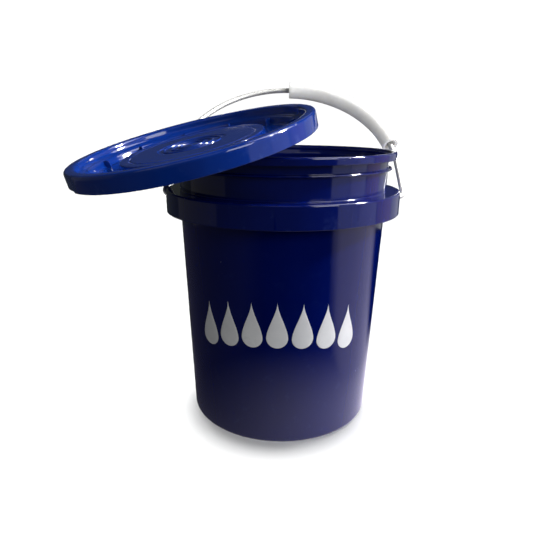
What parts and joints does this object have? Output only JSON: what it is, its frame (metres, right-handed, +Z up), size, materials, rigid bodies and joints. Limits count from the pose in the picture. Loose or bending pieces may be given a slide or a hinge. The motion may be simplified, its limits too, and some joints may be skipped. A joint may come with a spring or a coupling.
{
  "type": "wash bucket",
  "caption": "Tapered round plastic pail with a wide skirt, a ribbed lid slid half off and leaning on its rim, and a wire bail with a long tube grip; plain drop stickers in front.",
  "frame": {"origin": "on the pail's axis, in the middle of its underside, on the surface that it stands on", "axes": "+Z up along the pail's axis; the bail's two ears are on +X and -X; the stickers are on -Y, and the bail leans back towards +Y"},
  "size_m": [0.42, 0.3849, 0.4585],
  "materials": {
    "pail_plastic": "glossy moulded navy-blue polyethylene",
    "lid_plastic": "glossy moulded royal-blue polyethylene",
    "seal": "matt grey sealing ring",
    "wire": "bright galvanised wire",
    "grip_plastic": "satin white polyethylene tube",
    "vinyl": "satin white cut vinyl"
  },
  "bodies": {
    "pail": {"bucket": "pail_plastic", "drop_sticker_1": "vinyl", "drop_sticker_2": "vinyl", "drop_sticker_3": "vinyl", "drop_sticker_4": "vinyl", "drop_sticker_5": "vinyl", "drop_sticker_6": "vinyl", "drop_sticker_7": "vinyl"},
    "lid": {"lid": "lid_plastic", "lid_gasket": "seal"},
    "bail": {"bail_wire": "wire"},
    "grip": {"bail_grip": "grip_plastic"}
  },
  "joints": [
    {"name": "lid_lift", "type": "slide", "parent": "pail", "child": "lid", "axis": [0, 0, 1], "range_m": [0, 0.2]},
    {"name": "bail_swing", "type": "hinge", "parent": "pail", "child": "bail", "pos_m": [0, 0, 0.3089], "axis": [-1, 0, 0], "range_deg": [0, 87]},
    {"name": "grip_slide", "type": "hinge", "parent": "bail", "child": "grip", "pos_m": [0, 0.03428, 0.34031], "axis": [0, -0.6756, 0.7373], "range_deg": [-11, 60]}
  ]
}
